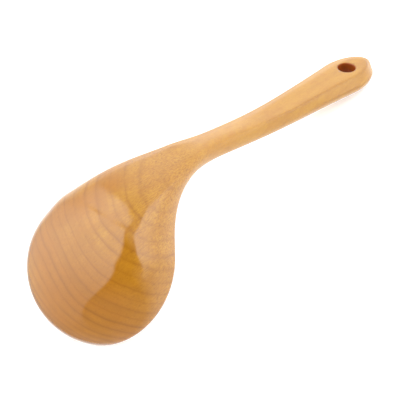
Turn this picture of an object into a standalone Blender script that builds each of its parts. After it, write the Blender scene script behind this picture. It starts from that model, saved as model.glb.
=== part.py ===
"""A carved wooden ladle, lying face down on a table.

The ladle is one piece of wood: a deep oval bowl, a cranked neck, and a flat handle that widens towards
a rounded tip with a hanging hole. Its underside is the side that holds the bowl's mouth.

The shape is drawn straightened out, with s along the underside from the centre of the bowl's mouth to the
handle's tip, y across, and n up from the underside. The underside then bends in the XZ plane, and all that
stands on it bends along. Ribs run over the top from the middle plane to the outline and back underneath:
they fan out from one foot in the far half of the bowl, lie square to the underside from there on, and fan
out again round the tip.

Metres and degrees, +Z up.
"""

import math

import bmesh
import bpy
import numpy as np

# Bowl
BOWL_HALF_LENGTH = 0.0428
BOWL_HALF_WIDTH = 0.0440
BOWL_DEPTH = 0.0436
RIM_WALL = 0.0055
CROWN_WALL = 0.0065
RIM_EDGE_HEIGHT = 0.0020
RIM_EDGE_INSET = 0.0025
RIM_LIP_RADIUS = 0.0012
HOLLOW_REACH_TO_NECK = 0.0030

# Neck: where the sides and the crown line leave the bowl, and how they run out into the handle
SIDE_LEAVES_BOWL = 55.0
SIDE_PULL_BOWL = 0.0176
SIDE_PULL_NECK = 0.0338
CROWN_LEAVES_BOWL = 57.3
CROWN_PULL_BOWL = 0.0207
CROWN_PULL_NECK = 0.0174
CROWN_MEETS_HANDLE = 0.0692

# Handle
NECK_FROM_CENTRE = 0.0969
NECK_HALF_WIDTH = 0.0087
TIP_FROM_CENTRE = 0.2325
TIP_HALF_WIDTH = 0.0141
FLARE_POWER = 1.87
TIP_ROUND_LENGTH = 0.0255
TIP_RIB_FOOT = 0.0080
HANDLE_THICKNESS = 0.0102
HANDLE_EDGE_SHARE = 0.455

# Hanging hole
HOLE_FROM_TIP = 0.0205
HOLE_RADIUS = 0.0052
HOLE_CHAMFER = 0.0007

# Bends of the underside: down from the mouth's plane into the neck, then a little back up
CRANK_ANGLE = 54.3
CRANK_START = 0.0265
CRANK_END = 0.0840
RETURN_ANGLE = 6.6
RETURN_START = 0.1015
STRAIGHT_TIP_LENGTH = 0.0620

# Cross sections: the power of the superellipse changes, and the widest line rises, from bowl to handle
BOWL_SECTION_POWER = 2.0
HANDLE_SECTION_POWER = 3.25
SECTION_CHANGE_START = 0.0088
SECTION_CHANGE_LENGTH = 0.0377
EDGE_CHANGE_START = 0.0257
EDGE_CHANGE_LENGTH = 0.0514

# Fineness
CURVE_STEPS = 90
RIB_COUNT = 74
TOP_ROWS = 13
EDGE_ROWS = 3
UNDERSIDE_ROWS = 2
HANDLE_RIB_DENSITY = 0.45
TIP_RIB_DENSITY = 3.0
TIP_DENSE_LENGTH = 0.012
HOLLOW_RIBS = 44
HOLLOW_ROWS = 12
LIP_ROWS = 4
LIP_TURN = 75.0
HOLE_STEPS = 48

CUTTER_OVERSHOOT = 0.003
HOLE_CUTTER_OVERSHOOT = 0.004
MERGE_DISTANCE = 0.00001
SETTLING_STEPS = 12
SHARP_ANGLE = 40.0

WOOD_COLOUR = (0.62, 0.33, 0.10, 1.0)
WOOD_ROUGHNESS = 0.32


def ease(share):
    """Runs from 0 to 1 with level ends."""
    share = np.clip(share, 0.0, 1.0)
    return share * share * (3.0 - 2.0 * share)


def unit(vector):
    return np.asarray(vector, dtype=float) / math.hypot(*vector)


def ellipse_arc(half_length, half_height, end_angle):
    """A quarter or more of an ellipse, from its far end round to end_angle."""
    angle = np.linspace(math.pi, math.radians(end_angle), CURVE_STEPS)
    return np.stack([half_length * np.cos(angle), half_height * np.sin(angle)], axis=1)


def run_out(arc, end, pull_start, pull_end):
    """A cubic curve that carries an arc on from its last point and comes level into end."""
    start = arc[-1]
    leave = start + pull_start * unit(arc[-1] - arc[-2])
    arrive = np.array([end[0] - pull_end, end[1]])
    share = np.linspace(0.0, 1.0, CURVE_STEPS)[1:, None]
    rest = 1.0 - share
    between = 3 * rest**2 * share * leave + 3 * rest * share**2 * arrive
    return rest**3 * start + between + share**3 * np.array(end)


def outline():
    """Half the plan of the straightened ladle, from the bowl's far end to the tip, as (s, y)."""
    bowl = ellipse_arc(BOWL_HALF_LENGTH, BOWL_HALF_WIDTH, SIDE_LEAVES_BOWL)
    side = run_out(bowl, (NECK_FROM_CENTRE, NECK_HALF_WIDTH), SIDE_PULL_BOWL, SIDE_PULL_NECK)
    length = TIP_FROM_CENTRE - TIP_ROUND_LENGTH - NECK_FROM_CENTRE
    widening = TIP_HALF_WIDTH - NECK_HALF_WIDTH
    share = np.linspace(0.0, 1.0, CURVE_STEPS)[1:]
    across = NECK_HALF_WIDTH + widening * share**FLARE_POWER
    handle = np.stack([NECK_FROM_CENTRE + length * share, across], axis=1)
    angle = np.linspace(0.0, math.pi / 2, CURVE_STEPS)[1:]
    reach = TIP_ROUND_LENGTH * np.sin(angle)
    flare = widening * FLARE_POWER / length * reach * (1.0 - np.sin(angle))
    across = (TIP_HALF_WIDTH + flare) * np.cos(angle)
    tip = np.stack([TIP_FROM_CENTRE - TIP_ROUND_LENGTH + reach, across], axis=1)
    return np.concatenate([bowl, side, handle, tip])


def crown_height(s):
    """Height of the crown line above the underside."""
    dome = ellipse_arc(BOWL_HALF_LENGTH, BOWL_DEPTH, CROWN_LEAVES_BOWL)
    fall = run_out(dome, (CROWN_MEETS_HANDLE, HANDLE_THICKNESS), CROWN_PULL_BOWL, CROWN_PULL_NECK)
    crown = np.concatenate([dome, fall])
    return np.interp(s, crown[:, 0], crown[:, 1])


def spine_slope(s):
    """Slope of the underside in radians."""
    crank = ease((s - CRANK_START) / (CRANK_END - CRANK_START))
    back = ease((s - RETURN_START) / (TIP_FROM_CENTRE - STRAIGHT_TIP_LENGTH - RETURN_START))
    return math.radians(RETURN_ANGLE) * back - math.radians(CRANK_ANGLE) * crank


def bend(s, y, n):
    """Turns straightened lengths into x, y and z, with the mouth's centre at the origin."""
    station = np.linspace(-BOWL_HALF_LENGTH, TIP_FROM_CENTRE, 8 * CURVE_STEPS)
    step = station[1] - station[0]
    slope = spine_slope(0.5 * (station[1:] + station[:-1]))
    along = np.concatenate([[0.0], np.cumsum(np.cos(slope)) * step]) - BOWL_HALF_LENGTH
    height = np.concatenate([[0.0], np.cumsum(np.sin(slope)) * step])
    tilt = spine_slope(s)
    x = np.interp(s, station, along) - n * np.sin(tilt)
    z = np.interp(s, station, height) + n * np.cos(tilt)
    return np.stack([x, y, z], axis=-1)


def rib_ends():
    """Where each rib meets the outline: sparse along the handle's sides and dense round its tip."""
    curve = outline()
    middle = 0.5 * (curve[1:, 0] + curve[:-1, 0])
    density = np.where(middle > NECK_FROM_CENTRE, HANDLE_RIB_DENSITY, 1.0)
    density = np.where(middle > TIP_FROM_CENTRE - TIP_DENSE_LENGTH, TIP_RIB_DENSITY, density)
    steps = np.hypot(*np.diff(curve, axis=0).T) * density
    travelled = np.concatenate([[0.0], np.cumsum(steps)])
    places = np.linspace(0.0, travelled[-1], RIB_COUNT)
    return np.interp(places, travelled, curve[:, 0]), np.interp(places, travelled, curve[:, 1])


def ladle_skin():
    """Half the outside of the ladle with its mouth still solid, as rows of points over the ribs."""
    s, y = rib_ends()
    into_tip = np.clip(s - TIP_FROM_CENTRE + 2 * TIP_RIB_FOOT, 0.0, None)
    feet = np.clip(s, 0.0, None) - into_tip**2 / (4 * TIP_RIB_FOOT)
    top = crown_height(feet)
    into_handle = ease((s - SECTION_CHANGE_START) / SECTION_CHANGE_LENGTH)
    power = BOWL_SECTION_POWER + (HANDLE_SECTION_POWER - BOWL_SECTION_POWER) * into_handle
    raised = ease((s - EDGE_CHANGE_START) / EDGE_CHANGE_LENGTH)
    edge = RIM_EDGE_HEIGHT + (HANDLE_EDGE_SHARE * top - RIM_EDGE_HEIGHT) * raised
    rows = []
    for angle in np.linspace(0.0, math.pi / 2, TOP_ROWS):
        out = math.sin(angle)**(2 / power)
        rise = max(math.cos(angle), 0.0)**(2 / power)
        rows.append(bend(feet + (s - feet) * out, y * out, edge + (top - edge) * rise))
    inset = RIM_EDGE_INSET / np.hypot(s - feet, y)
    for angle in np.linspace(0.0, math.pi / 2, EDGE_ROWS + 1)[1:]:
        out = 1.0 - inset * (1.0 - math.cos(angle))
        rows.append(bend(feet + (s - feet) * out, y * out, edge * (1.0 - math.sin(angle))))
    for share in np.linspace(1.0, 0.0, UNDERSIDE_ROWS + 1)[1:]:
        out = (1.0 - inset) * share
        rows.append(bend(feet + (s - feet) * out, y * out, 0.0 * edge))
    return np.stack(rows)


def hollow_skin():
    """Half the block that is carved out of the bowl: a dome, a lip that opens out, and a plain lid."""
    angle = np.linspace(math.pi, 0.0, HOLLOW_RIBS)
    reach = BOWL_HALF_LENGTH - RIM_WALL + np.where(np.cos(angle) > 0.0, HOLLOW_REACH_TO_NECK, 0.0)
    s = reach * np.cos(angle)
    y = (BOWL_HALF_WIDTH - RIM_WALL) * np.sin(angle)
    top = BOWL_DEPTH - CROWN_WALL
    level = np.ones(HOLLOW_RIBS)
    rows = []
    for turn in np.linspace(0.0, math.pi / 2, HOLLOW_ROWS):
        out = math.sin(turn)
        rise = RIM_LIP_RADIUS + (top - RIM_LIP_RADIUS) * math.cos(turn)
        rows.append(bend(s * out, y * out, rise * level))
    for turn in np.linspace(0.0, math.radians(LIP_TURN), LIP_ROWS)[1:]:
        out = 1.0 + RIM_LIP_RADIUS * (1.0 - math.cos(turn)) / np.hypot(s, y)
        rows.append(bend(s * out, y * out, RIM_LIP_RADIUS * (1.0 - math.sin(turn)) * level))
    out = 1.0 + RIM_LIP_RADIUS / np.hypot(s, y)
    rows.append(bend(s * out, y * out, -CUTTER_OVERSHOOT * level))
    rows.append(bend(0.0 * s, 0.0 * y, -CUTTER_OVERSHOOT * level))
    return np.stack(rows)


def mesh_from_rows(name, rows):
    """A mesh of the quads between rows of points, with points that fall together merged."""
    mesh = bpy.data.meshes.new(name)
    shape = bmesh.new()
    grid = [[shape.verts.new(point) for point in row] for row in rows]
    for upper, lower in zip(grid, grid[1:]):
        for i in range(len(upper) - 1):
            shape.faces.new((upper[i], upper[i + 1], lower[i + 1], lower[i]))
    bmesh.ops.remove_doubles(shape, verts=shape.verts, dist=MERGE_DISTANCE)
    shape.to_mesh(mesh)
    shape.free()
    mesh.shade_smooth()
    mesh.set_sharp_from_angle(angle=math.radians(SHARP_ANGLE))
    return mesh


def add_object(name, mesh, collection, parent):
    thing = bpy.data.objects.new(name, mesh)
    collection.objects.link(thing)
    thing.parent = parent
    return thing


def add_mirror(thing):
    mirror = thing.modifiers.new("Mirror", "MIRROR")
    mirror.use_axis = (False, True, False)
    mirror.merge_threshold = MERGE_DISTANCE


def add_cut(thing, cutter):
    cut = thing.modifiers.new(cutter.name, "BOOLEAN")
    cut.operation = "DIFFERENCE"
    cut.solver = "EXACT"
    cut.object = cutter


def hide_cutter(cutter):
    cutter.hide_render = True
    cutter.display_type = "WIRE"


def add_hollow_cutter(collection, parent):
    cutter = add_object("hollow_cutter", mesh_from_rows("hollow_cutter", hollow_skin()), collection, parent)
    add_mirror(cutter)
    hide_cutter(cutter)
    return cutter


def add_hole_cutter(collection, parent):
    """A turned drill through the handle, square to it, that opens out at both faces."""
    half = HANDLE_THICKNESS / 2
    wide = HOLE_RADIUS + HOLE_CHAMFER + HOLE_CUTTER_OVERSHOOT
    profile = [
        (0.0, half + HOLE_CUTTER_OVERSHOOT),
        (wide, half + HOLE_CUTTER_OVERSHOOT),
        (HOLE_RADIUS, half - HOLE_CHAMFER),
        (HOLE_RADIUS, HOLE_CHAMFER - half),
        (wide, -half - HOLE_CUTTER_OVERSHOOT),
        (0.0, -half - HOLE_CUTTER_OVERSHOOT),
    ]
    mesh = bpy.data.meshes.new("hole_cutter")
    mesh.from_pydata([(x, 0.0, z) for x, z in profile], [(i, i + 1) for i in range(len(profile) - 1)], [])
    cutter = add_object("hole_cutter", mesh, collection, parent)
    screw = cutter.modifiers.new("Screw", "SCREW")
    screw.steps = HOLE_STEPS
    screw.render_steps = HOLE_STEPS
    screw.use_merge_vertices = True
    screw.merge_threshold = MERGE_DISTANCE
    place = TIP_FROM_CENTRE - HOLE_FROM_TIP
    cutter.location = bend(place, 0.0, half)
    cutter.rotation_euler.y = -spine_slope(place)
    hide_cutter(cutter)
    return cutter


def lay_face_down(frame, points):
    """Turns the frame until bowl and tip touch the table, and centres the ladle over the origin."""
    x, z = points[:, 0], points[:, 2]
    bowl = x < BOWL_HALF_LENGTH
    lift = 0.0
    for _ in range(SETTLING_STEPS):
        along = x * math.cos(lift) - z * math.sin(lift)
        height = x * math.sin(lift) + z * math.cos(lift)
        far = np.argmin(np.where(bowl, height, np.inf))
        near = np.argmin(np.where(bowl, np.inf, height))
        lift -= math.atan2(height[near] - height[far], along[near] - along[far])
    frame.rotation_euler.y = -lift
    frame.location.x = -0.5 * (along.min() + along.max())
    frame.location.z = -height.min()


def lacquered_wood():
    material = bpy.data.materials.new("lacquered_wood")
    material.use_nodes = True
    surface = material.node_tree.nodes["Principled BSDF"]
    surface.inputs["Base Color"].default_value = WOOD_COLOUR
    surface.inputs["Roughness"].default_value = WOOD_ROUGHNESS
    surface.inputs["Metallic"].default_value = 0.0
    surface.inputs["Coat Weight"].default_value = 1.0
    return material


def add_collection(name):
    collection = bpy.data.collections.new(name)
    bpy.context.scene.collection.children.link(collection)
    return collection


def main():
    for leftover in list(bpy.data.objects):
        bpy.data.objects.remove(leftover)
    parts = add_collection("wooden_ladle")
    cutters = add_collection("cutters")
    frame = bpy.data.objects.new("mouth_frame", None)
    parts.objects.link(frame)
    skin = ladle_skin()
    ladle = add_object("ladle_body", mesh_from_rows("ladle_body", skin), parts, frame)
    ladle.data.materials.append(lacquered_wood())
    add_mirror(ladle)
    add_cut(ladle, add_hollow_cutter(cutters, frame))
    add_cut(ladle, add_hole_cutter(cutters, frame))
    lay_face_down(frame, skin.reshape(-1, 3))


main()
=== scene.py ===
"""Looks for the carved wooden ladle: fine lacquered wood in the CAD frame, a table, light and a camera.

The ladle is drawn straightened out, as s along its underside from the centre of the bowl's mouth to the
tip, y across, and n up from the underside, and then bent. Metres, degrees, +Z up.
"""

import math

import bmesh
import bpy
import numpy as np
from mathutils import Matrix, Vector


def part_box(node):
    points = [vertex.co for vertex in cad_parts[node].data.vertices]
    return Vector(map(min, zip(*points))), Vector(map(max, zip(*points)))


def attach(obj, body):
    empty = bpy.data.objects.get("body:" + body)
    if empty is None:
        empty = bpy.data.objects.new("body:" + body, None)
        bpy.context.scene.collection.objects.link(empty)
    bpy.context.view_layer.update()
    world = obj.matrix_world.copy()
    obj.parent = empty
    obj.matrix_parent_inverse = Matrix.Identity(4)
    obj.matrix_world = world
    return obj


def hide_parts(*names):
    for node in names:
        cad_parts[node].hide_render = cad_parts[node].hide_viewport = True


CAD_NODE = "ladle_body"

# Bowl
BOWL_HALF_LENGTH = 0.0428
BOWL_HALF_WIDTH = 0.0440
BOWL_DEPTH = 0.0436
RIM_WALL = 0.0055
CROWN_WALL = 0.0065
RIM_EDGE_HEIGHT = 0.0020
RIM_EDGE_INSET = 0.0025
RIM_LIP_RADIUS = 0.0012
HOLLOW_REACH_TO_NECK = 0.0030
HOLLOW_ABREAST = 0.056

# Neck: where the sides and the crown line leave the bowl, and how they run out into the handle
SIDE_LEAVES_BOWL = 55.0
SIDE_PULL_BOWL = 0.0176
SIDE_PULL_NECK = 0.0338
CROWN_LEAVES_BOWL = 57.3
CROWN_PULL_BOWL = 0.0207
CROWN_PULL_NECK = 0.0174
CROWN_MEETS_HANDLE = 0.0692

# Handle
NECK_FROM_CENTRE = 0.0969
NECK_HALF_WIDTH = 0.0087
TIP_FROM_CENTRE = 0.2325
TIP_HALF_WIDTH = 0.0141
FLARE_POWER = 1.87
TIP_ROUND_LENGTH = 0.0255
TIP_RIB_FOOT = 0.0080
HANDLE_THICKNESS = 0.0102
HANDLE_EDGE_SHARE = 0.455

# Hanging hole
HOLE_FROM_TIP = 0.0205
HOLE_RADIUS = 0.0052
HOLE_LIP_RADIUS = 0.0009

# Bends of the underside: down from the mouth's plane into the neck, then a little back up
CRANK_ANGLE = 54.3
CRANK_START = 0.0265
CRANK_END = 0.0840
RETURN_ANGLE = 6.6
RETURN_START = 0.1015
STRAIGHT_TIP_LENGTH = 0.0620

# Cross sections: the power of the superellipse changes, and the widest line rises, from bowl to handle
BOWL_SECTION_POWER = 2.0
HANDLE_SECTION_POWER = 3.25
SECTION_CHANGE_START = 0.0088
SECTION_CHANGE_LENGTH = 0.0377
EDGE_CHANGE_START = 0.0257
EDGE_CHANGE_LENGTH = 0.0514

# The handle's back is flat up to an arris, where its side slopes out. It is crisp on one hand only
ARRIS_START = 0.085
ARRIS_COMES_IN = 0.060
ARRIS_FAR_SHARE = 0.10
ARRIS_NEAR_SHARE = 0.90
ARRIS_INSET = 0.0016
ARRIS_WIDENING = 0.0026
ARRIS_WIDENS_FROM = 0.150
ARRIS_WIDENS_UNTIL = 0.212
ARRIS_TIP_FADE = 0.0105
ARRIS_CRISPNESS = 16.0

# Fineness of the surface
CURVE_STEPS = 240
RIB_COUNT = 300
TOP_ROWS = 60
EDGE_ROWS = 6
UNDERSIDE_ROWS = 7
LIP_ROWS = 5
HOLLOW_ROWS = 44
HANDLE_RIB_DENSITY = 0.7
TIP_RIB_DENSITY = 2.0
TIP_DENSE_LENGTH = 0.012
UNDERSIDE_CATCH_UP = 0.040
HOLE_STEPS = 72
HOLE_LIP_STEPS = 6
MERGE_DISTANCE = 0.000002
INSIDE_SHARE = 0.99999
SETTLING_STEPS = 12


# Growth rings: the far end of the tree's heart, the way it runs, and how the shells round it are drawn
# out. Sway and tremble each have a reach, a scale and a detail, and noise over a length has the last two
HEART_END = (-0.0294, -0.0938, 0.1555)
HEART_DIRECTION = (0.687, -0.265, -0.677)
HEART_CAP = 3.14
HEART_ACROSS = 0.638
HEART_OVER = 1.262
RING_WIDTH = 0.0064
RING_SWAY = (0.0030, 38.0, 1.0)
RING_TREMBLE = (0.0005, 220.0, 2.0)
RING_UNEVENNESS = 0.7
UNEVENNESS_NOISE = (0.37, 1.0)

# Late lines: how dark the wood is through one year, and where and in which years the line is strong
LATE_LINE = ((0.0, 0.9), (0.08, 0.42), (0.22, 0.10), (0.55, 0.0),
             (0.78, 0.18), (0.91, 0.55), (0.97, 1.0))
YEAR_TURNS = 0.2
LINE_PATCH_NOISE = ((60.0, 60.0, 60.0), 2.0, 0.5)
LINE_PATCHES = (0.30, 0.62, 0.45, 1.0)
YEAR_NOISE = (3.7, 0.0)
STRONG_YEARS = (0.25, 0.7, 0.55, 1.0)
LINE_STRENGTH = 0.66
DARK_YEAR_NOISE = (1.4, 1.0)
DARK_YEARS = (0.46, 0.66, 0.0, 0.38)
HANDLE_GRAIN_START = -0.057
HANDLE_GRAIN_END = -0.030
HANDLE_RING_SHARE = 0.10

# Noise under each mark in the wood: its fineness along x, y and z, its detail and its roughness
STREAK_NOISE = ((55.0, 900.0, 900.0), 3.0, 0.62)
BAND_NOISE = ((14.0, 160.0, 160.0), 3.0, 0.55)
PORE_NOISE = ((300.0, 1250.0, 1250.0), 2.0, 0.6)
GRAIN_NOISE = ((420.0, 1700.0, 1700.0), 2.0, 0.6)
CLOUD_NOISE = ((30.0, 30.0, 30.0), 3.0, 0.55)
MOTTLE_NOISE = ((130.0, 260.0, 260.0), 3.0, 0.65)

# How each mark shows: the noise at which it starts and is full, and how much there is of it then
CLOUDS = (0.33, 0.67)
BANDS = (0.42, 0.68, 0.0, 0.35)
MOTTLING = (0.40, 0.75, 0.0, 0.40)
STREAKS = (0.50, 0.80, 0.0, 0.22)
GRAIN = (0.38, 0.66, 0.0, 0.70)
FLECKS = (0.58, 0.72)
FLECK_STRENGTH = 0.48
COARSE_ANYWHERE = 0.6
COARSE_NEAR_SIDE = 0.8
COARSE_PAST_NECK = (-0.035, 0.0, 1.0, 0.20)

# Tones of the wood, and painted light and shade: one side and the handle painted paler where more light
# falls, and the low side painted darker and redder where it lies in shade
WOOD_HONEY = (0.386, 0.193, 0.015, 1.0)
WOOD_AMBER = (0.318, 0.124, 0.009, 1.0)
# Painted shade: the darker, redder tone of the low side
PAINTED_SHADE_TONE = (0.316, 0.113, 0.008, 1.0)
# Painted light: the paler tone of the lit side and the handle
PAINTED_LIGHT_TONE = (0.380, 0.186, 0.013, 1.0)
WOOD_DEEP = (0.262, 0.102, 0.008, 1.0)
# The late lines' tone, also painted as shade on the edges
LINE_AND_EDGE_SHADE_TONE = (0.200, 0.068, 0.005, 1.0)
WOOD_BARK = (0.150, 0.052, 0.004, 1.0)
# Painted shade over the end grain of the hole's wall, which takes more of the finish
BORE_STAIN_AND_SHADE = (0.230, 0.045, 0.008, 1.0)
# Painted light: the side painted paler, how far it reaches, and how much the handle gets; the same side
# has a coarser grain
LIT_SIDE = (0.69, -0.72, 0.0)
LIT_REACH = (-0.055, -0.022, 0.0, 0.8)
LIT_ON_HANDLE = 0.8
# Painted shade: the low side that is painted darker and redder, and how far it reaches
SHADED_SIDE = (-0.82, -0.57, 0.0)
SHADED_REACH = (0.078, 0.104, 0.0, 0.75)

# Painted shade on the edges and in the hole: the radius that finds the edges, the turn of the surface,
# and where they are dark
EDGE_RADIUS = 0.0015
EDGE_SAMPLES = 4
EDGE_TURN = (0.9992, 0.9935)
EDGE_TOWARD_TIP = (0.030, 0.070, 0.30, 1.0)
EDGE_PATCHES = (0.3, 0.6, 0.35, 0.75)
BORE_FADES_FROM = 0.0006
BORE_FADES_UNTIL = 0.0002
BORE_SHARE = 0.95

# Sheen and relief: roughness of the wood and of the lacquer on it, and how deep the marks are
DULL_NOISE = ((90.0, 90.0, 90.0), 4.0, 0.6)
DULLNESS = (0.3, 0.7, 0.40, 0.55)
FILM_NOISE = ((140.0, 140.0, 140.0), 3.0, 0.6)
FILM_ROUGHNESS = (0.3, 0.7, 0.05, 0.09)
FILM_ON_EDGE = 0.10
FILM_IN_BORE = 0.25
FILM_IOR = 1.6
LINE_RELIEF = 0.6
FLECK_RELIEF = 0.5
STREAK_RELIEF = 0.4
WOOD_BUMP = {"Strength": 0.25, "Distance": 0.00008}
DIMPLE_NOISE = ((160.0, 160.0, 160.0), 2.0, 0.5)
FILM_RELIEF = 0.25
FILM_BUMP = {"Strength": 0.20, "Distance": 0.00010}

# Camera: where it looks, from which side and height, how far off and how it is rolled
CAMERA_AIM = (-0.0323, -0.0198, 0.0382)
CAMERA_HEADING = -125.62
CAMERA_HEIGHT = 46.05
CAMERA_ROLL = -14.41
CAMERA_DISTANCE = 0.700
CAMERA_LENS = 116.46
CAMERA_SENSOR = 36.0
CAMERA_CLIP = 0.01

# Studio, by swing to the right of the camera and lift above it. The room: fill from low down and from
# both sides, and a pale wall beyond the ladle, with where each starts to show and where it is full
ROOM_DARK = 0.05
FILL_LOW = 0.50
FILL_LOW_LIFT = (-7.0, -50.0)
FILL_LEFT = 0.22
FILL_LEFT_SWING = (-100.0, -162.0)
FILL_RIGHT = 0.60
FILL_RIGHT_SWING = (32.0, 75.0)
WALL_SWING = 128.7
WALL_LIFT = 26.2
WALL_REACH = (103.0, 57.8)
WALL_LEVEL = 1.75
BEYOND_LEVEL = 2.4
BEYOND_REACH = (-0.25, -0.55)
BEYOND_LIFT = (38.0, 56.0)
BACKDROP_LEVEL = 4.0

# Right panel
RIGHT_LEVEL = 1.95
RIGHT_NEAR_LEVEL = 3.15
RIGHT_NEAR_SWING = (92.0, 48.0)
RIGHT_EDGE = 34.9
RIGHT_LEAN = -0.02
RIGHT_SOFTNESS = 3.0
RIGHT_CORNER = 0.031
RIGHT_CORNER_LIFT = 12.0
RIGHT_FOOT = (-29.0, 7.2)
RIGHT_TOP = (70.0, 42.0)

# Left panel
LEFT_LEVEL = 2.95
LEFT_TOP_SWING = -62.5
LEFT_TOP_LIFT = 74.6
LEFT_TOP_FALL = 11.3
LEFT_TOP_SPAN = 60.0
LEFT_TOP_POWER = 2.6
LEFT_TOP_SOFTNESS = 0.7
LEFT_TOP_BLUR = 0.9
LEFT_EDGE = 9.3
LEFT_LEAN = 0.13
LEFT_SOFTNESS = 3.2
LEFT_CORNER = 0.018
LEFT_CORNER_LIFT = 4.0
LEFT_FOOT = (-78.0, -51.0)
LEFT_FALL_LIFT = (-73.7, 41.5, 0.35, 1.0)
LEFT_FALL_SWING = (-170.0, -66.0, 0.17, 1.0)

# How much of the room falls on the wood itself, and a broad soft lamp on the right
ROOM_ON_WOOD = 0.85
LAMP_SWING = 75.0
LAMP_LIFT = 38.0
LAMP_SPREAD = 60.0
LAMP_POWER = 1.36

# Table
FLOOR_HALF = 4.0
FLOOR_GAP = 0.0002
TABLE_GLOW = 0.35
TABLE_BOUNCE = (0.92, 0.92, 0.92, 1.0)
TABLE_DARKER = (0.86, 0.86, 0.86, 1.0)
TABLE_PALER = (0.88, 0.88, 0.88, 1.0)
TABLE_NOISE = ((8.0, 8.0, 8.0), 3.0, 0.5)
TABLE_CLOUDS = (0.3, 0.7)
TABLE_ROUGHNESS = 0.9
TABLE_SPECULAR = 0.1
WHITE = (1.0, 1.0, 1.0, 1.0)


def ease(share):
    """Runs from 0 to 1 with level ends."""
    share = np.clip(share, 0.0, 1.0)
    return share * share * (3.0 - 2.0 * share)


def unit(vector):
    return np.asarray(vector, dtype=float) / math.hypot(*vector)


def ellipse_arc(half_length, half_height, end_angle):
    """An ellipse from its far end round to end_angle."""
    angle = np.linspace(math.pi, math.radians(end_angle), CURVE_STEPS)
    return np.stack([half_length * np.cos(angle), half_height * np.sin(angle)], axis=1)


def run_out(arc, end, pull_start, pull_end):
    """A cubic curve that carries an arc on from its last point and comes level into end."""
    start = arc[-1]
    leave = start + pull_start * unit(arc[-1] - arc[-2])
    arrive = np.array([end[0] - pull_end, end[1]])
    share = np.linspace(0.0, 1.0, CURVE_STEPS)[1:, None]
    rest = 1.0 - share
    bend_in = 3 * rest**2 * share * leave + 3 * rest * share**2 * arrive
    return rest**3 * start + bend_in + share**3 * np.array(end)


def outline():
    """Half the plan of the straightened ladle, from the bowl's far end to the tip, as (s, y)."""
    bowl = ellipse_arc(BOWL_HALF_LENGTH, BOWL_HALF_WIDTH, SIDE_LEAVES_BOWL)
    side = run_out(bowl, (NECK_FROM_CENTRE, NECK_HALF_WIDTH), SIDE_PULL_BOWL, SIDE_PULL_NECK)
    length = TIP_FROM_CENTRE - TIP_ROUND_LENGTH - NECK_FROM_CENTRE
    widening = TIP_HALF_WIDTH - NECK_HALF_WIDTH
    share = np.linspace(0.0, 1.0, CURVE_STEPS)[1:]
    across = NECK_HALF_WIDTH + widening * share**FLARE_POWER
    handle = np.stack([NECK_FROM_CENTRE + length * share, across], axis=1)
    angle = np.linspace(0.0, math.pi / 2, CURVE_STEPS)[1:]
    reach = TIP_ROUND_LENGTH * np.sin(angle)
    flare = widening * FLARE_POWER / length * reach * (1.0 - np.sin(angle))
    across = (TIP_HALF_WIDTH + flare) * np.cos(angle)
    tip = np.stack([TIP_FROM_CENTRE - TIP_ROUND_LENGTH + reach, across], axis=1)
    return np.concatenate([bowl, side, handle, tip])


def crown_height(s):
    """Height of the crown line above the underside."""
    dome = ellipse_arc(BOWL_HALF_LENGTH, BOWL_DEPTH, CROWN_LEAVES_BOWL)
    fall = run_out(dome, (CROWN_MEETS_HANDLE, HANDLE_THICKNESS), CROWN_PULL_BOWL, CROWN_PULL_NECK)
    crown = np.concatenate([dome, fall])
    return np.interp(s, crown[:, 0], crown[:, 1])


def spine_slope(s):
    """Slope of the underside in radians."""
    crank = ease((s - CRANK_START) / (CRANK_END - CRANK_START))
    back = ease((s - RETURN_START) / (TIP_FROM_CENTRE - STRAIGHT_TIP_LENGTH - RETURN_START))
    return math.radians(RETURN_ANGLE) * back - math.radians(CRANK_ANGLE) * crank


def bend(s, y, n):
    """Turns straightened lengths into x, y and z, with the mouth's centre at the origin."""
    station = np.linspace(-BOWL_HALF_LENGTH, TIP_FROM_CENTRE, 4 * CURVE_STEPS)
    step = station[1] - station[0]
    slope = spine_slope(0.5 * (station[1:] + station[:-1]))
    along = np.concatenate([[0.0], np.cumsum(np.cos(slope)) * step]) - BOWL_HALF_LENGTH
    height = np.concatenate([[0.0], np.cumsum(np.sin(slope)) * step])
    tilt = spine_slope(s)
    x = np.interp(s, station, along) - n * np.sin(tilt)
    z = np.interp(s, station, height) + n * np.cos(tilt)
    return np.stack([x, y, z], axis=-1)


def rib_ends():
    """Where each rib meets the outline, and how far along the outline that is."""
    curve = outline()
    middle = 0.5 * (curve[1:, 0] + curve[:-1, 0])
    density = np.where(middle > NECK_FROM_CENTRE, HANDLE_RIB_DENSITY, 1.0)
    density = np.where(middle > TIP_FROM_CENTRE - TIP_DENSE_LENGTH, TIP_RIB_DENSITY, density)
    steps = np.hypot(*np.diff(curve, axis=0).T) * density
    travelled = np.concatenate([[0.0], np.cumsum(steps)])
    places = np.linspace(0.0, travelled[-1], RIB_COUNT)
    return np.interp(places, travelled, curve[:, 0]), np.interp(places, travelled, curve[:, 1])


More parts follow.
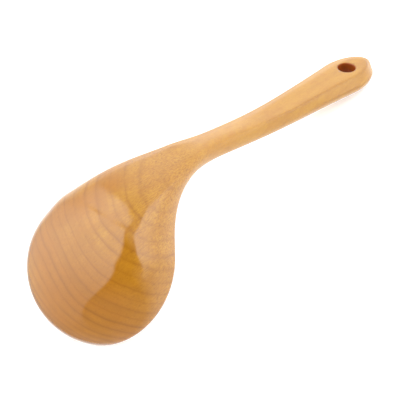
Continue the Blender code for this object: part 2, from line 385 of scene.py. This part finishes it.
def outside_rows(s, y, arris_share):
    """Rows over the back, round the edge and over the underside as far as the hollow or the middle."""
    into_tip = np.clip(s - TIP_FROM_CENTRE + 2 * TIP_RIB_FOOT, 0.0, None)
    feet = np.clip(s, 0.0, None) - into_tip**2 / (4 * TIP_RIB_FOOT)
    top = crown_height(feet)
    into_handle = ease((s - SECTION_CHANGE_START) / SECTION_CHANGE_LENGTH)
    power = BOWL_SECTION_POWER + (HANDLE_SECTION_POWER - BOWL_SECTION_POWER) * into_handle
    raised = ease((s - EDGE_CHANGE_START) / EDGE_CHANGE_LENGTH)
    edge = RIM_EDGE_HEIGHT + (HANDLE_EDGE_SHARE * top - RIM_EDGE_HEIGHT) * raised
    rows = []
    faceted = arris_share * ease((s - ARRIS_START) / ARRIS_COMES_IN) * ease(y / ARRIS_TIP_FADE)
    widened = ease((s - ARRIS_WIDENS_FROM) / (ARRIS_WIDENS_UNTIL - ARRIS_WIDENS_FROM))
    chamfer = (ARRIS_INSET + ARRIS_WIDENING * widened) / np.hypot(s - feet, y)
    for angle in np.linspace(0.0, math.pi / 2, TOP_ROWS):
        out = math.sin(angle)**(2 / power)
        rise = max(math.cos(angle), 0.0)**(2 / power)
        side = out + chamfer * rise
        reach = (rise**ARRIS_CRISPNESS + side**ARRIS_CRISPNESS)**(-1 / ARRIS_CRISPNESS)
        reach = 1.0 + faceted * (reach - 1.0)
        out, rise = out * reach, rise * reach
        rows.append(bend(feet + (s - feet) * out, y * out, edge + (top - edge) * rise))
    inset = RIM_EDGE_INSET / np.hypot(s - feet, y)
    for angle in np.linspace(0.0, math.pi / 2, EDGE_ROWS + 1)[1:]:
        out = 1.0 - inset * (1.0 - math.cos(angle))
        rows.append(bend(feet + (s - feet) * out, y * out, edge * (1.0 - math.sin(angle))))
    edge_s, edge_y = feet + (s - feet) * (1.0 - inset), y * (1.0 - inset)
    inner_s, inner_y = underside_ends(s, feet)
    for share in np.linspace(0.0, 1.0, UNDERSIDE_ROWS + 1)[1:]:
        under_s = edge_s + (inner_s - edge_s) * share
        under_y = edge_y + (inner_y - edge_y) * share
        rows.append(bend(under_s, under_y, 0.0 * s))
    return np.stack(rows)


def hollow_ring(rib_count):
    """Where the first rib_count ribs meet the hollow's wall, as s, y and distance from the centre."""
    angle = np.linspace(math.pi, 0.0, rib_count)
    reach = BOWL_HALF_LENGTH - RIM_WALL + np.where(np.cos(angle) > 0.0, HOLLOW_REACH_TO_NECK, 0.0)
    s = reach * np.cos(angle)
    y = (BOWL_HALF_WIDTH - RIM_WALL) * np.sin(angle)
    return s, y, np.hypot(s, y)


def hollow_rib_count(s):
    return int(np.searchsorted(s, HOLLOW_ABREAST)) + 1


def underside_ends(s, feet):
    """Where each rib ends on the underside: at the hollow's lip, or on the handle's middle plane."""
    count = hollow_rib_count(s)
    ring_s, ring_y, ring_reach = hollow_ring(count)
    out = 1.0 + RIM_LIP_RADIUS / ring_reach
    caught_up = ease((s - s[count - 1]) / UNDERSIDE_CATCH_UP)
    inner_s = feet - (s[count - 1] - ring_s[-1] * out[-1]) * (1.0 - caught_up)
    inner_y = np.zeros(len(s))
    inner_s[:count] = ring_s * out
    inner_y[:count] = ring_y * out
    return inner_s, inner_y


def hollow_rows(s):
    """Rows from the rim's inner lip down the hollow's wall to its deepest point."""
    ring_s, ring_y, ring_reach = hollow_ring(hollow_rib_count(s))
    top = BOWL_DEPTH - CROWN_WALL
    level = np.ones(len(ring_s))
    rows = []
    for turn in np.linspace(math.pi / 2, 0.0, LIP_ROWS + 1):
        out = 1.0 + RIM_LIP_RADIUS * (1.0 - math.cos(turn)) / ring_reach
        rows.append(bend(ring_s * out, ring_y * out, RIM_LIP_RADIUS * (1.0 - math.sin(turn)) * level))
    for turn in np.linspace(math.pi / 2, 0.0, HOLLOW_ROWS)[1:]:
        out = math.sin(turn)
        rise = RIM_LIP_RADIUS + (top - RIM_LIP_RADIUS) * math.cos(turn)
        rows.append(bend(ring_s * out, ring_y * out, rise * level))
    return np.stack(rows)


def face_down(points):
    """The turn and shift that lay points on the table, at bowl and tip, centred over the origin."""
    x, z = points[:, 0], points[:, 2]
    bowl = x < BOWL_HALF_LENGTH
    lift = 0.0
    for _ in range(SETTLING_STEPS):
        along = x * math.cos(lift) - z * math.sin(lift)
        height = x * math.sin(lift) + z * math.cos(lift)
        far = np.argmin(np.where(bowl, height, np.inf))
        near = np.argmin(np.where(bowl, np.inf, height))
        lift -= math.atan2(height[near] - height[far], along[near] - along[far])
    shift = Vector((-0.5 * (along.min() + along.max()), 0.0, -height.min()))
    return Matrix.Translation(shift) @ Matrix.Rotation(-lift, 4, "Y")


def add_rows(shape, rows, hand):
    """Quads between rows of points on one hand of the ladle, added to a bmesh."""
    grid = [[shape.verts.new((x, hand * y, z)) for x, y, z in row] for row in rows]
    for upper, lower in zip(grid, grid[1:]):
        for i in range(len(upper) - 1):
            corners = (upper[i], upper[i + 1], lower[i + 1], lower[i])
            shape.faces.new(corners if hand > 0 else corners[::-1])


def link(name, data):
    thing = bpy.data.objects.new(name, data)
    bpy.context.scene.collection.objects.link(thing)
    return thing


def hole_drill(laid):
    """A turned cutter for the hanging hole, square to the handle, with a rounded lip at both faces."""
    half = HANDLE_THICKNESS / 2
    top = []
    for turn in np.linspace(math.pi / 2, 0.0, HOLE_LIP_STEPS + 1):
        flare = HOLE_LIP_RADIUS * (1.0 - math.cos(turn))
        top.append((HOLE_RADIUS + flare, half - HOLE_LIP_RADIUS * (1.0 - math.sin(turn))))
    clear = (HOLE_RADIUS + HOLE_LIP_RADIUS, half + HOLE_RADIUS)
    upper = [(0.0, clear[1]), clear] + top
    profile = upper + [(x, -z) for x, z in reversed(upper)]
    mesh = bpy.data.meshes.new("hole_drill")
    lines = [(i, i + 1) for i in range(len(profile) - 1)]
    mesh.from_pydata([(x, 0.0, z) for x, z in profile], lines, [])
    drill = link("hole_drill", mesh)
    screw = drill.modifiers.new("Screw", "SCREW")
    screw.steps = screw.render_steps = HOLE_STEPS
    screw.use_merge_vertices = True
    screw.merge_threshold = MERGE_DISTANCE
    place = TIP_FROM_CENTRE - HOLE_FROM_TIP
    square = Matrix.Rotation(-float(spine_slope(place)), 4, "Y")
    drill.matrix_world = laid @ Matrix.Translation(bend(place, 0.0, half)) @ square
    return drill


def shrink_into(mesh, low, high):
    """Draw a mesh in by a hair about the middle of its foot, so that it stays inside a box."""
    points = np.array([vertex.co for vertex in mesh.vertices])
    least, most = points.min(0), points.max(0)
    share = (np.array(high - low) / (most - least)).min() * INSIDE_SHARE
    foot = np.array([(least[0] + most[0]) / 2, (least[1] + most[1]) / 2, least[2]])
    place = np.array([(low[0] + high[0]) / 2, (low[1] + high[1]) / 2, low[2]])
    mesh.vertices.foreach_set("co", (place + (points - foot) * share).ravel())
    mesh.update()


def build_ladle():
    """The whole ladle as one fine closed mesh, and the place and turn of its hanging hole."""
    s, y = rib_ends()
    laid = face_down(outside_rows(s, y, 0.0).reshape(-1, 3))
    shape = bmesh.new()
    for hand, arris_share in ((1, ARRIS_FAR_SHARE), (-1, ARRIS_NEAR_SHARE)):
        add_rows(shape, outside_rows(s, y, arris_share), hand)
        add_rows(shape, hollow_rows(s), hand)
    bmesh.ops.remove_doubles(shape, verts=shape.verts, dist=MERGE_DISTANCE)
    mesh = bpy.data.meshes.new("ladle_blank")
    shape.to_mesh(mesh)
    shape.free()
    mesh.transform(laid)
    blank = link("ladle_blank", mesh)
    cut = blank.modifiers.new("Hole", "BOOLEAN")
    cut.operation = "DIFFERENCE"
    cut.solver = "EXACT"
    cut.object = hole_drill(laid)
    bpy.context.view_layer.update()
    evaluated = blank.evaluated_get(bpy.context.evaluated_depsgraph_get())
    whole = bpy.data.meshes.new_from_object(evaluated)
    whole.name = "ladle_wood"
    whole.shade_smooth()
    shrink_into(whole, *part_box(CAD_NODE))
    bore = cut.object.matrix_world.copy()
    bpy.data.objects.remove(cut.object)
    bpy.data.objects.remove(blank)
    return link("ladle_wood", whole), bore


def grey(level):
    return (level, level, level, 1.0)


class Nodes:
    """A short way to lay out and join the nodes of a material or a world."""

    def __init__(self, tree):
        self.tree = tree

    def feed(self, socket, value):
        """Join another node's output to a socket, or set the socket to a plain value."""
        if isinstance(value, bpy.types.NodeSocket):
            self.tree.links.new(value, socket)
        else:
            socket.default_value = value

    def add(self, kind, inputs=None, **settings):
        node = self.tree.nodes.new(kind)
        for key, value in settings.items():
            setattr(node, key, value)
        for key, value in (inputs or {}).items():
            self.feed(node.inputs[key], value)
        return node

    def math(self, operation, *values):
        return self.add("ShaderNodeMath", dict(enumerate(values)), operation=operation).outputs[0]

    def product(self, first, *others):
        for other in others:
            first = self.math("MULTIPLY", first, other)
        return first

    def most(self, first, *others):
        for other in others:
            first = self.math("MAXIMUM", first, other)
        return first

    def vector(self, operation, *values):
        node = self.add("ShaderNodeVectorMath", dict(enumerate(values)), operation=operation)
        return node.outputs["Value" if operation in ("DOT_PRODUCT", "LENGTH") else "Vector"]

    def noise(self, place, fineness, detail, roughness):
        """Noise from 0 to 1, with its fineness along x, y and z."""
        drawn = self.vector("MULTIPLY", place, fineness)
        inputs = {"Vector": drawn, "Scale": 1.0, "Detail": detail, "Roughness": roughness}
        return self.add("ShaderNodeTexNoise", inputs).outputs[0]

    def sway(self, place, reach, scale, detail):
        """A shift of up to about half of reach each way, which wanders with place."""
        cloud = self.add("ShaderNodeTexNoise", {"Vector": place, "Scale": scale, "Detail": detail})
        shift = self.vector("SUBTRACT", cloud.outputs["Color"], (0.5, 0.5, 0.5))
        scaled = self.add("ShaderNodeVectorMath", {0: shift, "Scale": reach}, operation="SCALE")
        return scaled.outputs[0]

    def wander(self, length, scale, detail):
        """Noise over a single length, from 0 to 1."""
        inputs = {"W": length, "Scale": scale, "Detail": detail}
        return self.add("ShaderNodeTexNoise", inputs, noise_dimensions="1D").outputs[0]

    def span(self, value, low, high, to_low=0.0, to_high=1.0, smooth=True):
        """Runs from to_low to to_high as value goes from low to high."""
        inputs = {0: value, 1: low, 2: high, 3: to_low, 4: to_high}
        kind = "SMOOTHSTEP" if smooth else "LINEAR"
        return self.add("ShaderNodeMapRange", inputs, interpolation_type=kind).outputs[0]

    def ramp(self, value, stops):
        node = self.add("ShaderNodeValToRGB", {0: value})
        marks = node.color_ramp.elements
        while len(marks) < len(stops):
            marks.new(0.5)
        for mark, (place, level) in zip(marks, stops):
            mark.position = place
            mark.color = grey(level)
        return node.outputs[0]

    def blend(self, share, first, second):
        return self.add("ShaderNodeMix", {0: share, 6: first, 7: second}, data_type="RGBA").outputs[2]


def new_material(name):
    """A material, a layout of its nodes, its surface, and each point's place on the object."""
    material = bpy.data.materials.new(name)
    material.use_nodes = True
    nodes = Nodes(material.node_tree)
    surface = material.node_tree.nodes["Principled BSDF"]
    return material, nodes, surface, nodes.add("ShaderNodeTexCoord").outputs["Object"]


def growth_rings(nodes, place):
    """Distance, in ring widths, from the heart of the tree: shells whose legs run along the handle."""
    along_heart = Vector(HEART_DIRECTION).normalized()
    across_heart = Vector((0.0, 0.0, 1.0)).cross(along_heart).normalized()
    over_heart = along_heart.cross(across_heart)
    offset = nodes.vector("SUBTRACT", place, HEART_END)
    along = nodes.vector("DOT_PRODUCT", offset, along_heart)
    across = nodes.vector("DOT_PRODUCT", offset, across_heart)
    over = nodes.vector("DOT_PRODUCT", offset, over_heart)
    behind = nodes.math("MULTIPLY", nodes.math("MINIMUM", along, 0.0), HEART_CAP)
    spread = nodes.add("ShaderNodeCombineXYZ", {
        0: behind,
        1: nodes.math("MULTIPLY", across, HEART_ACROSS),
        2: nodes.math("MULTIPLY", over, HEART_OVER),
    }).outputs[0]
    return nodes.math("DIVIDE", nodes.vector("LENGTH", spread), RING_WIDTH)


def uneven_rings(nodes, place):
    """Growth rings that sway, tremble and are not all as wide."""
    swayed = nodes.vector("ADD", place, nodes.sway(place, *RING_SWAY))
    swayed = nodes.vector("ADD", swayed, nodes.sway(place, *RING_TREMBLE))
    rings = growth_rings(nodes, swayed)
    uneven = nodes.math("SUBTRACT", nodes.wander(rings, *UNEVENNESS_NOISE), 0.5)
    return nodes.math("ADD", rings, nodes.math("MULTIPLY", uneven, RING_UNEVENNESS))


def late_lines(nodes, place, rings, onto_handle):
    """The thin dark line that ends each year, strong in some years and places and weak in others."""
    line = nodes.ramp(nodes.math("FRACT", rings), LATE_LINE)
    year = nodes.math("FLOOR", nodes.math("ADD", rings, YEAR_TURNS))
    patchy = nodes.span(nodes.noise(place, *LINE_PATCH_NOISE), *LINE_PATCHES)
    strength = nodes.span(nodes.wander(year, *YEAR_NOISE), *STRONG_YEARS)
    line = nodes.math("MULTIPLY", line, nodes.math("MULTIPLY", patchy, strength))
    on_handle = nodes.span(onto_handle, 0.0, 1.0, 1.0, HANDLE_RING_SHARE)
    return nodes.math("MULTIPLY", line, on_handle)


def ground_tone(nodes, place, rings, lit_side_and_coarse_grain, onto_handle, mottle):
    """The broad colour of the wood: clouds, bands and darker years, with painted light that makes one
    side and the handle paler and painted shade that makes the low side darker and redder.
    """
    tone = nodes.blend(nodes.span(nodes.noise(place, *CLOUD_NOISE), *CLOUDS), WOOD_AMBER, WOOD_HONEY)
    # Painted shade: the low side is painted darker and redder
    painted_shade = nodes.span(nodes.vector("DOT_PRODUCT", place, SHADED_SIDE), *SHADED_REACH)
    tone = nodes.blend(painted_shade, tone, PAINTED_SHADE_TONE)
    # Painted light: the lit side and the handle are painted paler
    pale = nodes.most(lit_side_and_coarse_grain, nodes.math("MULTIPLY", onto_handle, LIT_ON_HANDLE))
    tone = nodes.blend(pale, tone, PAINTED_LIGHT_TONE)
    tone = nodes.blend(nodes.span(nodes.noise(place, *BAND_NOISE), *BANDS), tone, WOOD_DEEP)
    tone = nodes.blend(nodes.span(mottle, *MOTTLING), tone, WOOD_AMBER)
    dark_year = nodes.span(nodes.wander(rings, *DARK_YEAR_NOISE), *DARK_YEARS)
    elsewhere = nodes.math("SUBTRACT", 1.0, nodes.most(lit_side_and_coarse_grain, onto_handle))
    return nodes.blend(nodes.math("MULTIPLY", dark_year, elsewhere), tone, WOOD_DEEP)


def add_fibres(nodes, tone, place, along, lit_side_and_coarse_grain, streak, flecks):
    """Fibres: long along the handle, seen end on as flecks where the bowl cuts across them."""
    tone = nodes.blend(nodes.span(streak, *STREAKS), tone, WOOD_DEEP)
    near = nodes.math("ADD", nodes.math("MULTIPLY", lit_side_and_coarse_grain, COARSE_NEAR_SIDE), COARSE_ANYWHERE)
    coarse = nodes.math("MULTIPLY", near, nodes.span(along, *COARSE_PAST_NECK))
    grain = nodes.span(nodes.noise(place, *GRAIN_NOISE), *GRAIN)
    tone = nodes.blend(nodes.math("MULTIPLY", grain, coarse), tone, WOOD_DEEP)
    return nodes.blend(nodes.product(flecks, coarse, FLECK_STRENGTH), tone, WOOD_BARK)


def edge_sharpness(nodes):
    """1 on the ladle's edges and 0 on its broad faces."""
    rounded = nodes.add("ShaderNodeBevel", {"Radius": EDGE_RADIUS}, samples=EDGE_SAMPLES)
    normal = nodes.add("ShaderNodeNewGeometry").outputs["Normal"]
    return nodes.span(nodes.vector("DOT_PRODUCT", rounded.outputs[0], normal), *EDGE_TURN)


def bore_share(nodes, place, bore):
    """1 on the wall of the hanging hole and 0 outside it."""
    from_hole = nodes.vector("SUBTRACT", place, bore.translation)
    axis = bore.to_3x3().col[2].normalized()
    off_axis = nodes.vector("LENGTH", nodes.vector("CROSS_PRODUCT", from_hole, axis))
    return nodes.span(off_axis, HOLE_RADIUS + BORE_FADES_FROM, HOLE_RADIUS + BORE_FADES_UNTIL)


def add_sheen(nodes, surface, place, edge, in_hole):
    """Dull wood under a clear film, which is rougher on the edges and thin in the hole."""
    dull = nodes.span(nodes.noise(place, *DULL_NOISE), *DULLNESS)
    nodes.feed(surface.inputs["Roughness"], dull)
    film = nodes.span(nodes.noise(place, *FILM_NOISE), *FILM_ROUGHNESS)
    film = nodes.math("ADD", film, nodes.math("MULTIPLY", edge, FILM_ON_EDGE))
    nodes.feed(surface.inputs["Coat Roughness"], film)
    covered = nodes.span(in_hole, 0.0, 1.0, 1.0, FILM_IN_BORE, smooth=False)
    nodes.feed(surface.inputs["Coat Weight"], covered)
    nodes.feed(surface.inputs["Coat IOR"], FILM_IOR)
    nodes.feed(surface.inputs["Specular IOR Level"], 0.0)


def add_relief(nodes, surface, place, line, streak, flecks):
    """Late lines and pores lie a little lower, and the film over them is faintly dimpled."""
    low = nodes.math("MULTIPLY", line, LINE_RELIEF)
    low = nodes.math("ADD", low, nodes.math("MULTIPLY", flecks, FLECK_RELIEF))
    relief = nodes.math("SUBTRACT", nodes.math("MULTIPLY", streak, STREAK_RELIEF), low)
    under = nodes.add("ShaderNodeBump", {**WOOD_BUMP, "Height": relief})
    nodes.feed(surface.inputs["Normal"], under.outputs[0])
    film = nodes.math("MULTIPLY", relief, FILM_RELIEF)
    film = nodes.math("ADD", nodes.noise(place, *DIMPLE_NOISE), film)
    over = nodes.add("ShaderNodeBump", {**FILM_BUMP, "Height": film})
    nodes.feed(surface.inputs["Coat Normal"], over.outputs[0])


def lacquered_wood(bore):
    """Clear-lacquered wood with rings and fibres, with painted shade on its edges and painted shade over
    darker end grain in the hole.
    """
    material, nodes, surface, place = new_material("lacquered_wood_fine")
    along = nodes.add("ShaderNodeSeparateXYZ", {0: place}).outputs[0]
    onto_handle = nodes.span(along, HANDLE_GRAIN_START, HANDLE_GRAIN_END)
    # Painted light on this side, which also has a coarser grain
    lit_side_and_coarse_grain = nodes.span(nodes.vector("DOT_PRODUCT", place, LIT_SIDE), *LIT_REACH)
    rings = uneven_rings(nodes, place)
    line = late_lines(nodes, place, rings, onto_handle)
    streak = nodes.noise(place, *STREAK_NOISE)
    flecks = nodes.span(nodes.noise(place, *PORE_NOISE), *FLECKS)
    mottle = nodes.noise(place, *MOTTLE_NOISE)
    tone = ground_tone(nodes, place, rings, lit_side_and_coarse_grain, onto_handle, mottle)
    tone = add_fibres(nodes, tone, place, along, lit_side_and_coarse_grain, streak, flecks)
    tone = nodes.blend(nodes.math("MULTIPLY", line, LINE_STRENGTH), tone, LINE_AND_EDGE_SHADE_TONE)

    # Painted shade on the edges, stronger toward the tip and in patches, and in the hole's wall painted
    # shade over end grain that has soaked up more of the finish
    edge = edge_sharpness(nodes)
    toward_tip = nodes.span(along, *EDGE_TOWARD_TIP)
    # Painted shade along the edges, toward the tip and in patches
    painted_edge_shade = nodes.product(edge, toward_tip, nodes.span(mottle, *EDGE_PATCHES))
    tone = nodes.blend(painted_edge_shade, tone, LINE_AND_EDGE_SHADE_TONE)
    # Painted shade over darker end grain on the hole's wall
    in_hole = bore_share(nodes, place, bore)
    tone = nodes.blend(nodes.math("MULTIPLY", in_hole, BORE_SHARE), tone, BORE_STAIN_AND_SHADE)
    nodes.feed(surface.inputs["Base Color"], tone)
    add_sheen(nodes, surface, place, edge, in_hole)
    add_relief(nodes, surface, place, line, streak, flecks)
    return material


def add_floor():
    """A plain pale table top, wide enough to fill every view."""
    mesh = bpy.data.meshes.new("table_top")
    half = FLOOR_HALF
    corners = [(-half, -half, 0.0), (half, -half, 0.0), (half, half, 0.0), (-half, half, 0.0)]
    mesh.from_pydata(corners, [], [(0, 1, 2, 3)])
    floor = link("table_top", mesh)
    floor.location.z = -FLOOR_GAP
    material, nodes, surface, place = new_material("pale_table")
    faint = nodes.span(nodes.noise(place, *TABLE_NOISE), *TABLE_CLOUDS)
    tone = nodes.blend(faint, TABLE_DARKER, TABLE_PALER)
    seen = nodes.add("ShaderNodeLightPath").outputs["Is Camera Ray"]
    nodes.feed(surface.inputs["Base Color"], nodes.blend(seen, TABLE_BOUNCE, tone))
    nodes.feed(surface.inputs["Emission Color"], WHITE)
    nodes.feed(surface.inputs["Emission Strength"], TABLE_GLOW)
    nodes.feed(surface.inputs["Roughness"], TABLE_ROUGHNESS)
    nodes.feed(surface.inputs["Specular IOR Level"], TABLE_SPECULAR)
    floor.data.materials.append(material)
    floor.visible_glossy = False


def camera_turn():
    """The camera's turn: heading and height round the ladle, then a roll."""
    heading = Matrix.Rotation(math.radians(CAMERA_HEADING + 90.0), 4, "Z")
    height = Matrix.Rotation(math.radians(90.0 - CAMERA_HEIGHT), 4, "X")
    return heading @ height @ Matrix.Rotation(math.radians(CAMERA_ROLL), 4, "Z")


def add_camera():
    lens = bpy.data.cameras.new("view_camera")
    lens.lens = CAMERA_LENS
    lens.sensor_width = CAMERA_SENSOR
    lens.clip_start = CAMERA_CLIP
    camera = link("view_camera", lens)
    away = Matrix.Translation((0, 0, CAMERA_DISTANCE))
    camera.matrix_world = Matrix.Translation(CAMERA_AIM) @ camera_turn() @ away
    bpy.context.scene.camera = camera


def room_glow(nodes, direction, ahead, swing, lift):
    """The room: low fill, its two sides, and the pale wall beyond the ladle."""
    low = nodes.span(lift, *FILL_LOW_LIFT, ROOM_DARK, FILL_LOW)
    left = nodes.span(swing, *FILL_LEFT_SWING, 0.0, FILL_LEFT)
    right_side = nodes.span(swing, *FILL_RIGHT_SWING, 0.0, FILL_RIGHT)
    right, up, back = camera_turn().to_3x3().transposed()
    across, above = math.radians(WALL_SWING), math.radians(WALL_LIFT)
    wall = right * math.sin(across) * math.cos(above)
    wall += up * math.sin(above)
    wall += back * math.cos(across) * math.cos(above)
    off_wall = nodes.math("ARCCOSINE", nodes.vector("DOT_PRODUCT", direction, wall))
    wall_glow = nodes.span(nodes.math("DEGREES", off_wall), *WALL_REACH, 0.0, WALL_LEVEL)
    beyond = nodes.span(ahead, *BEYOND_REACH, 0.0, BEYOND_LEVEL)
    beyond = nodes.math("MULTIPLY", beyond, nodes.span(lift, *BEYOND_LIFT))
    return nodes.most(low, left, right_side, wall_glow, beyond)


def corner_cut(nodes, lift, corner_lift, corner):
    """How far a panel's edge turns aside below corner_lift, growing as the square of the depth."""
    depth = nodes.most(nodes.math("SUBTRACT", corner_lift, lift), 0.0)
    return nodes.product(depth, depth, corner)


def right_panel(nodes, swing, lift):
    """Its upright left edge turns away at the foot, and it fades above and below."""
    aside = nodes.math("SUBTRACT", swing, RIGHT_EDGE)
    aside = nodes.math("SUBTRACT", aside, nodes.math("MULTIPLY", lift, RIGHT_LEAN))
    cut = corner_cut(nodes, lift, RIGHT_CORNER_LIFT, RIGHT_CORNER)
    aside = nodes.math("SUBTRACT", aside, cut)
    foot = nodes.span(lift, *RIGHT_FOOT)
    top = nodes.span(lift, *RIGHT_TOP)
    side = nodes.span(aside, -RIGHT_SOFTNESS, RIGHT_SOFTNESS)
    level = nodes.span(swing, *RIGHT_NEAR_SWING, RIGHT_LEVEL, RIGHT_NEAR_LEVEL)
    return nodes.product(foot, top, side, level)


def left_panel_share(nodes, swing, lift):
    """A long straight top edge, and a right edge that leans out and rounds off at the foot."""
    turn = nodes.math("ABSOLUTE", nodes.math("SUBTRACT", swing, LEFT_TOP_SWING))
    turn = nodes.math("DIVIDE", turn, LEFT_TOP_SPAN)
    fall = nodes.math("MULTIPLY", nodes.math("POWER", turn, LEFT_TOP_POWER), LEFT_TOP_FALL)
    below_top = nodes.math("SUBTRACT", LEFT_TOP_LIFT, nodes.math("ADD", fall, lift))
    softness = nodes.math("ADD", nodes.math("MULTIPLY", turn, LEFT_TOP_BLUR), LEFT_TOP_SOFTNESS)
    below_top = nodes.math("DIVIDE", below_top, softness)
    edge = nodes.math("ADD", nodes.math("MULTIPLY", lift, LEFT_LEAN), LEFT_EDGE)
    edge = nodes.math("SUBTRACT", edge, corner_cut(nodes, lift, LEFT_CORNER_LIFT, LEFT_CORNER))
    aside = nodes.math("SUBTRACT", edge, swing)
    top = nodes.span(below_top, -1.0, 1.0)
    side = nodes.span(aside, -LEFT_SOFTNESS, LEFT_SOFTNESS)
    return nodes.product(top, side, nodes.span(lift, *LEFT_FOOT))


def left_panel_level(nodes, swing, lift):
    """Brightest high up and near the camera."""
    low = nodes.span(lift, *LEFT_FALL_LIFT)
    far = nodes.span(swing, *LEFT_FALL_SWING)
    return nodes.product(low, far, LEFT_LEVEL)


def add_studio():
    """A wide panel left of the camera, a dark gap, and a narrow panel right of it, in a pale room."""
    world = bpy.data.worlds.new("studio")
    bpy.context.scene.world = world
    world.use_nodes = True
    nodes = Nodes(world.node_tree)
    direction = nodes.vector("NORMALIZE", nodes.add("ShaderNodeTexCoord").outputs["Generated"])
    right, up, back = camera_turn().to_3x3().transposed()
    ahead = nodes.vector("DOT_PRODUCT", direction, back)
    swing = nodes.math("ARCTAN2", nodes.vector("DOT_PRODUCT", direction, right), ahead)
    swing = nodes.math("DEGREES", swing)
    lift = nodes.math("DEGREES", nodes.math("ARCSINE", nodes.vector("DOT_PRODUCT", direction, up)))

    glow = room_glow(nodes, direction, ahead, swing, lift)
    glow = nodes.most(glow, right_panel(nodes, swing, lift))
    panel = nodes.most(left_panel_level(nodes, swing, lift), glow)
    share = left_panel_share(nodes, swing, lift)
    outside = nodes.math("MULTIPLY", glow, nodes.math("SUBTRACT", 1.0, share))
    glow = nodes.math("ADD", outside, nodes.math("MULTIPLY", panel, share))

    # Less of the room falls on the wood than shows in its lacquer, and the backdrop is white
    path = nodes.add("ShaderNodeLightPath")
    held = nodes.math("MULTIPLY", path.outputs["Is Diffuse Ray"], 1.0 - ROOM_ON_WOOD)
    glow = nodes.math("MULTIPLY", glow, nodes.math("SUBTRACT", 1.0, held))
    backdrop = nodes.math("MULTIPLY", path.outputs["Is Camera Ray"], BACKDROP_LEVEL)
    background = world.node_tree.nodes["Background"]
    nodes.feed(background.inputs["Strength"], nodes.most(glow, backdrop))
    nodes.feed(background.inputs["Color"], WHITE)


def add_lamp():
    """A broad soft lamp on the right, which the lacquer does not reflect."""
    lamp = bpy.data.lights.new("soft_lamp", "SUN")
    lamp.energy = LAMP_POWER
    lamp.angle = math.radians(LAMP_SPREAD)
    held_up = link("soft_lamp", lamp)
    swing = Matrix.Rotation(math.radians(LAMP_SWING), 4, "Y")
    lift = Matrix.Rotation(math.radians(-LAMP_LIFT), 4, "X")
    held_up.matrix_world = camera_turn() @ (swing @ lift)
    held_up.visible_glossy = False


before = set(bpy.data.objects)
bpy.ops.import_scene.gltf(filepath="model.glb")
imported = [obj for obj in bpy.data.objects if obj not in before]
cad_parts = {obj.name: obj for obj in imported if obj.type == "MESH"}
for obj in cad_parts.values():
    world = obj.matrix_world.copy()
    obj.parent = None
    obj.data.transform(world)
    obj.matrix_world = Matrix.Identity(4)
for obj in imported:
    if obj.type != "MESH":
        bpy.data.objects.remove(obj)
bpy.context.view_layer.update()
ladle, bore = build_ladle()
ladle.data.materials.append(lacquered_wood(bore))
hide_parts(CAD_NODE)
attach(ladle, "root")
add_floor()
add_camera()
add_studio()
add_lamp()
bpy.context.scene.view_settings.view_transform = "Standard"
bpy.context.scene.view_settings.look = "None"
